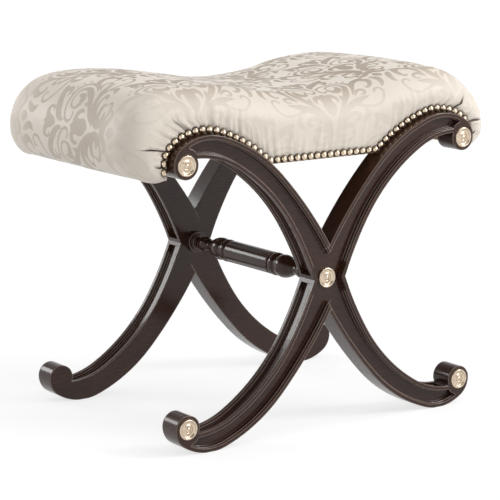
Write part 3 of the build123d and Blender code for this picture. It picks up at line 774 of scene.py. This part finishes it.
# Colours
espresso_dark = linear(40, 22, 15)
espresso_middle = linear(58, 35, 25)
espresso_light = linear(82, 51, 37)
espresso_cloud = linear(42, 26, 20)
# Painted highlight: a lighter tone laid along the lacquer's convex edges
edge_highlight_tone = linear(150, 131, 120)
# Painted shade for the foot of each nail, where it meets the cloth
nail_foot_shade_tone = linear(74, 56, 42)
roundel_tones = (linear(200, 182, 160), linear(218, 202, 182))
nail_tones = (linear(204, 184, 158), linear(224, 206, 182))
ground_tones = (linear(229, 219, 206), linear(233, 224, 212))
figure_tones = (linear(169, 153, 136), linear(177, 162, 145))
# Painted shade for the cloth's creases and around the nails
crease_shade_tone = linear(66, 54, 44)
jute_tones = (linear(120, 92, 58), linear(176, 142, 98))
cambric_tones = (linear(46, 36, 30), linear(74, 60, 50))
frame_wood_tones = (linear(176, 138, 96), linear(214, 180, 136))
zinc_tones = (linear(138, 140, 143), linear(182, 184, 187))

# Values that the materials share or take from the sizes, with lengths in metres
# How far in from an edge the painted highlight reaches
edge_highlight_reach = 0.0025
edge_softness = 0.003
lap_cover = (0.034, 0.040)   # around the crossing
nail_foot = ((front_y + 0.4) * MM, (front_y + 1.9) * MM)
motif_blur = (-0.45, 0.45)   # millimetres, as the motif attribute is
grain_turn = radians(12)
noise_span = (0.3, 0.7)      # where most of a noise texture's values lie


def lacquer(name, turn, coat_rough, lapped=True):
    """Espresso lacquer over fine open grain, with softened edges and a painted highlight along them in a
    lighter tone. Over the lap of two legs the joint is filled flush, so no edge shows there."""
    material, tree, shader = new_material(name)
    grain_place = mapped(tree, (5, 26, 70), turn=turn)
    grain = noise(tree, grain_place, scale=9.0, detail=6.0, rough=0.62, twist=0.5)
    cloud = noise(tree, mapped(tree), scale=9.0)
    wood = ramp(tree, grain, [(0.3, espresso_dark), (0.52, espresso_middle), (0.76, espresso_light)])
    tone = mixed(tree, ranged(tree, cloud, (0.35, 0.7), (0.0, 0.5)), wood, espresso_cloud)
    # Painted highlight along the convex edges, found by occlusion from inside the wood
    within = add_node(tree, "ShaderNodeAmbientOcclusion", inside=True, only_local=True, samples=8)
    within.inputs["Distance"].default_value = edge_highlight_reach
    painted_edge_highlight = ranged(tree, within.outputs["AO"], (0.5, 0.85), (0.72, 0.0))
    softened = add_node(tree, "ShaderNodeBevel", samples=8, in_Radius=edge_softness)
    if lapped:
        away = length_of(tree, mapped(tree, (1, 0, 1), move=(0, 0, -crossing_z * MM)))
        painted_edge_highlight = combined(tree, "MULTIPLY", painted_edge_highlight, ranged(tree, away, lap_cover, (0.0, 1.0)))
        tree.links.new(ranged(tree, away, lap_cover, (0.0, edge_softness)), softened.inputs["Radius"])
    normal = bumped(tree, grain, strength=0.05, distance=0.0004, normal=softened.outputs["Normal"])
    tree.links.new(mixed(tree, painted_edge_highlight, tone, edge_highlight_tone), shader.inputs["Base Color"])
    tree.links.new(evenly(tree, grain, (0.3, 0.75), (0.3, 0.4)), shader.inputs["Roughness"])
    tree.links.new(normal, shader.inputs["Normal"])
    tree.links.new(softened.outputs["Normal"], shader.inputs["Coat Normal"])
    shader.inputs["Specular IOR Level"].default_value = 0.08
    shader.inputs["Coat Weight"].default_value = 0.6
    shader.inputs["Coat Roughness"].default_value = coat_rough
    shader.inputs["Coat IOR"].default_value = 1.45
    return material


def brass(name, tones, rough, foot=None):
    """Pale lacquered brass with faint clouding, and painted shade darkening its foot up to where it meets
    the cloth.
    """
    material, tree, shader = new_material(name)
    cloud = noise(tree, mapped(tree), scale=160.0, detail=3.0)
    tone = ramp(tree, cloud, list(zip(noise_span, tones)))
    if foot:
        # Painted shade at the foot of the nail
        away = add_node(tree, "ShaderNodeMath", operation="ABSOLUTE")
        tree.links.new(parts_of(tree, mapped(tree))["Y"], away.inputs[0])
        tone = mixed(tree, ranged(tree, away.outputs["Value"], foot, (1.0, 0.0)), tone, nail_foot_shade_tone)
    pits = noise(tree, mapped(tree), scale=900.0)
    tree.links.new(tone, shader.inputs["Base Color"])
    tree.links.new(evenly(tree, cloud, noise_span, (rough, rough + 0.09)), shader.inputs["Roughness"])
    tree.links.new(bumped(tree, pits, strength=0.03, distance=0.0002), shader.inputs["Normal"])
    shader.inputs["Metallic"].default_value = 1.0
    return material


def damask(name):
    """Cream satin with a taupe woven motif whose contrast is faded by painted sheen, with painted shade
    in its creases and around the nails, and finely gathered at the nails.
    """
    material, tree, shader = new_material(name)
    inside = ranged(tree, attribute(tree, "motif"), motif_blur, (1.0, 0.0))
    # The motif's share, faded by the painted sheen
    share = combined(tree, "MULTIPLY", inside, attribute(tree, "sheen_contrast"))
    warp = noise(tree, mapped(tree, (900, 60, 1), "UV"))
    weft = noise(tree, mapped(tree, (60, 900, 1), "UV"))
    ground = mixed(tree, evenly(tree, warp, noise_span, (0.0, 1.0)), *ground_tones)
    figure = mixed(tree, evenly(tree, weft, noise_span, (0.0, 1.0)), *figure_tones)
    # Painted shade in the creases and around the nails
    crease = ranged(tree, attribute(tree, "painted_shade"), (0.1, 0.8), (0.0, 0.9))
    tone = mixed(tree, crease, mixed(tree, share, ground, figure), crease_shade_tone)
    folds = combined(tree, "MULTIPLY", noise(tree, mapped(tree, (190, 7, 1), "UV")), attribute(tree, "pull"))
    gathered = bumped(tree, folds, strength=0.7, distance=0.0024)
    threads = combined(tree, "ADD", warp, weft)
    normal = bumped(tree, threads, strength=0.06, distance=0.0002, normal=gathered)
    tree.links.new(tone, shader.inputs["Base Color"])
    tree.links.new(evenly(tree, share, (0, 1), (0.5, 0.68)), shader.inputs["Roughness"])
    tree.links.new(normal, shader.inputs["Normal"])
    shader.inputs["Specular IOR Level"].default_value = 0.28
    shader.inputs["Sheen Weight"].default_value = 0.2
    shader.inputs["Sheen Roughness"].default_value = 0.4
    return material


def plain_cloth(name, tones, rough):
    """Plain woven cloth."""
    material, tree, shader = new_material(name)
    warp = noise(tree, mapped(tree, (700, 40, 40)))
    weft = noise(tree, mapped(tree, (40, 700, 40)))
    threads = combined(tree, "MULTIPLY", warp, weft)
    tree.links.new(ramp(tree, threads, list(zip((0.15, 0.4), tones))), shader.inputs["Base Color"])
    tree.links.new(evenly(tree, warp, noise_span, (rough, 0.95)), shader.inputs["Roughness"])
    tree.links.new(bumped(tree, threads, strength=0.3, distance=0.0004), shader.inputs["Normal"])
    return material


def plain_wood(name):
    """Plywood and beech of the hidden frame."""
    material, tree, shader = new_material(name)
    grain = noise(tree, mapped(tree, (6, 60, 60)), scale=8.0, detail=5.0)
    tree.links.new(ramp(tree, grain, list(zip(noise_span, frame_wood_tones))), shader.inputs["Base Color"])
    tree.links.new(evenly(tree, grain, noise_span, (0.5, 0.7)), shader.inputs["Roughness"])
    tree.links.new(bumped(tree, grain, strength=0.15, distance=0.0004), shader.inputs["Normal"])
    return material


def steel(name):
    """Zinc-plated steel with fine turning lines."""
    material, tree, shader = new_material(name)
    lines = noise(tree, mapped(tree, (40, 40, 900)))
    tree.links.new(ramp(tree, lines, list(zip(noise_span, zinc_tones))), shader.inputs["Base Color"])
    tree.links.new(evenly(tree, lines, noise_span, (0.28, 0.42)), shader.inputs["Roughness"])
    shader.inputs["Metallic"].default_value = 1.0
    return material


def dress(name, material):
    piece = nodes[name]
    piece.data.materials.clear()
    piece.data.materials.append(material)


lacquer_right = lacquer("espresso_right", turn=(0, grain_turn, 0), coat_rough=0.13)
lacquer_left = lacquer("espresso_left", turn=(0, -grain_turn, 0), coat_rough=0.13)
lacquer_bar = lacquer("espresso_bar", turn=(0, 0, radians(90)), coat_rough=0.06, lapped=False)
roundel_brass = brass("pale_brass", roundel_tones, rough=0.2)
nail_brass = brass("champagne_nail", nail_tones, rough=0.24, foot=nail_foot)
cover.data.materials.append(damask("damask"))
birch = plain_wood("frame_wood")
zinc = steel("zinc_steel")
jute = plain_cloth("jute", jute_tones, rough=0.8)
cambric = plain_cloth("cambric", cambric_tones, rough=0.8)

for name in nodes:
    if "_leg_" in name:
        dress(name, lacquer_right if name.endswith("right") else lacquer_left)
    elif name.endswith("roundel"):
        dress(name, roundel_brass)
    elif name.endswith("nails"):
        dress(name, nail_brass)
    elif name in ("stretcher_bolts", "stretcher_washers") or name.endswith("screws"):
        dress(name, zinc)
    elif name.endswith(("board", "rail", "bearer", "dowels")):
        dress(name, birch)
dress("stretcher", lacquer_bar)
dress("webbing", jute)

# Dust cover: a sheet stretched under the seat between the frames
dust_drop = 0.8
dust_gap = 1                 # to the frame at each side
dust_columns = 90
dust_rows = 60
dust_sag = 0.4
dust_wrinkle, dust_wave, dust_seed = 0.5, 48, 9

dust_way = edge_way(-arm_gap, board_z - dust_drop)
half = np.linspace(0, dust_way.at_x(scroll_edge_x - arm_gap), dust_columns)
line = dust_way.at(half)
line = np.vstack([line[::-1] * (-1, 1), line[1:]])
reach = np.linspace(-(inner_y - dust_gap), inner_y - dust_gap, dust_rows)
dust_along, dust_across = np.meshgrid(np.concatenate([-half[::-1], half[1:]]), reach, indexing="ij")
wrinkle = dust_sag + dust_wrinkle * plane_noise(dust_along, dust_across, dust_wave, dust_seed)
dust_points = np.zeros((*dust_across.shape, 3))
dust_points[:, :, 0] = line[:, :1]
dust_points[:, :, 1] = dust_across
dust_points[:, :, 2] = line[:, 1:] - wrinkle * np.cos(pi * dust_across / (2 * inner_y))
dust = make_mesh("cambric_dust_cover", dust_points)
dust.data.materials.append(cambric)

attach(cover, "root")
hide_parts("seat_cover", "seat_foam")
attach(dust, "root")
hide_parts("dust_cover")

# Stage: a pale floor, soft lamps and the camera, in metres
floor_half = 40
floor_bounce = 0.8
floor_shade = 0.36
glow_span, glow_levels = (0.8, 4.5), (0.72, 0.88)
sky_span, sky_levels = (0.15, 0.8), (1.0, 0.3)
sky_light = 0.42
seat_middle = (0, 0, 0.3)
frame_middle = (0, 0, 0.25)
# Lamps: name, place, target, width and height, and watts
lamps = (
    ("key", (2.2, -2.0, 1.9), seat_middle, (0.9, 0.9), 40),
    ("strip", (1.06, -2.3, 2.22), seat_middle, (1.8, 0.3), 17),
    ("high", (1.7, -0.55, 2.5), seat_middle, (0.7, 0.7), 8),
    ("overhead", (-0.5, 0.1, 2.8), seat_middle, (1.6, 1.6), 8),
    ("left", (-2.6, -1.6, 1.5), seat_middle, (1.4, 1.4), 7),
    ("back", (-1.47, 2.53, 1.22), frame_middle, (1.4, 0.7), 24),
)
camera_place = (-1.8373, -2.600, 0.8588)
camera_target = (-0.1431, -0.195, 0.2853)
camera_lens = 152.3          # millimetres, as the sensor is
camera_sensor = 36


def seen_rays(tree):
    """1 for rays from the camera and for those that a shiny or clear surface sends on."""
    path = tree.nodes.new("ShaderNodeLightPath").outputs
    shiny = combined(tree, "MAXIMUM", path["Is Camera Ray"], path["Is Glossy Ray"])
    return combined(tree, "MAXIMUM", shiny, path["Is Transmission Ray"])


def pale_floor(name):
    """Pale to the light that it throws back. Where it is seen, it glows white around the shadow."""
    material = bpy.data.materials.new(name)
    material.use_nodes = True
    tree = material.node_tree
    tree.nodes.clear()
    bounce = add_node(tree, "ShaderNodeBsdfDiffuse", in_Color=(floor_bounce, floor_bounce, floor_bounce, 1))
    shade = add_node(tree, "ShaderNodeBsdfDiffuse", in_Color=(floor_shade, floor_shade, floor_shade, 1))
    glow = tree.nodes.new("ShaderNodeEmission")
    # Lamps fade with the distance, so the floor glows more there and stays evenly white
    strength = ranged(tree, length_of(tree, mapped(tree)), glow_span, glow_levels)
    tree.links.new(strength, glow.inputs["Strength"])
    both = tree.nodes.new("ShaderNodeAddShader")
    tree.links.new(shade.outputs[0], both.inputs[0])
    tree.links.new(glow.outputs[0], both.inputs[1])
    choice = tree.nodes.new("ShaderNodeMixShader")
    tree.links.new(seen_rays(tree), choice.inputs["Fac"])
    tree.links.new(bounce.outputs[0], choice.inputs[1])
    tree.links.new(both.outputs[0], choice.inputs[2])
    out = tree.nodes.new("ShaderNodeOutputMaterial")
    tree.links.new(choice.outputs[0], out.inputs["Surface"])
    return material


def studio(name):
    """White world: even and dim as a light, and brighter towards the horizon where it is seen."""
    world = bpy.data.worlds.new(name)
    world.use_nodes = True
    tree = world.node_tree
    background = tree.nodes["Background"]
    background.inputs["Color"].default_value = (1, 1, 1, 1)
    where = tree.nodes.new("ShaderNodeTexCoord")
    sky = ranged(tree, parts_of(tree, where.outputs["Generated"])["Z"], sky_span, sky_levels)
    level = add_node(tree, "ShaderNodeMix", data_type="FLOAT")
    level.inputs["A"].default_value = sky_light
    tree.links.new(seen_rays(tree), level.inputs["Factor"])
    tree.links.new(sky, level.inputs["B"])
    tree.links.new(level.outputs["Result"], background.inputs["Strength"])
    return world


def aim(piece, place, target):
    piece.location = place
    piece.rotation_mode = "QUATERNION"
    piece.rotation_quaternion = (Vector(target) - Vector(place)).to_track_quat("-Z", "Y")
    bpy.context.scene.collection.objects.link(piece)


def soft_lamp(name, place, target, size, power):
    lamp = bpy.data.lights.new(name, "AREA")
    lamp.shape = "RECTANGLE"
    lamp.size, lamp.size_y = size
    lamp.energy = power
    piece = bpy.data.objects.new(name, lamp)
    piece.visible_camera = False
    aim(piece, place, target)


floor_mesh = bpy.data.meshes.new("floor")
floor_corners = [(floor_half * x, floor_half * y, 0) for x, y in ((-1, -1), (1, -1), (1, 1), (-1, 1))]
floor_mesh.from_pydata(floor_corners, [], [(0, 1, 2, 3)])
floor_mesh.materials.append(pale_floor("pale_floor"))
floor = bpy.data.objects.new("floor", floor_mesh)
bpy.context.scene.collection.objects.link(floor)

bpy.context.scene.world = studio("studio")
for lamp in lamps:
    soft_lamp(*lamp)

camera_data = bpy.data.cameras.new("camera")
camera_data.sensor_width = camera_sensor
camera_data.lens = camera_lens
camera = bpy.data.objects.new("camera", camera_data)
aim(camera, camera_place, camera_target)
bpy.context.scene.camera = camera
bpy.context.scene.view_settings.view_transform = "Standard"

bpy.context.view_layer.update()
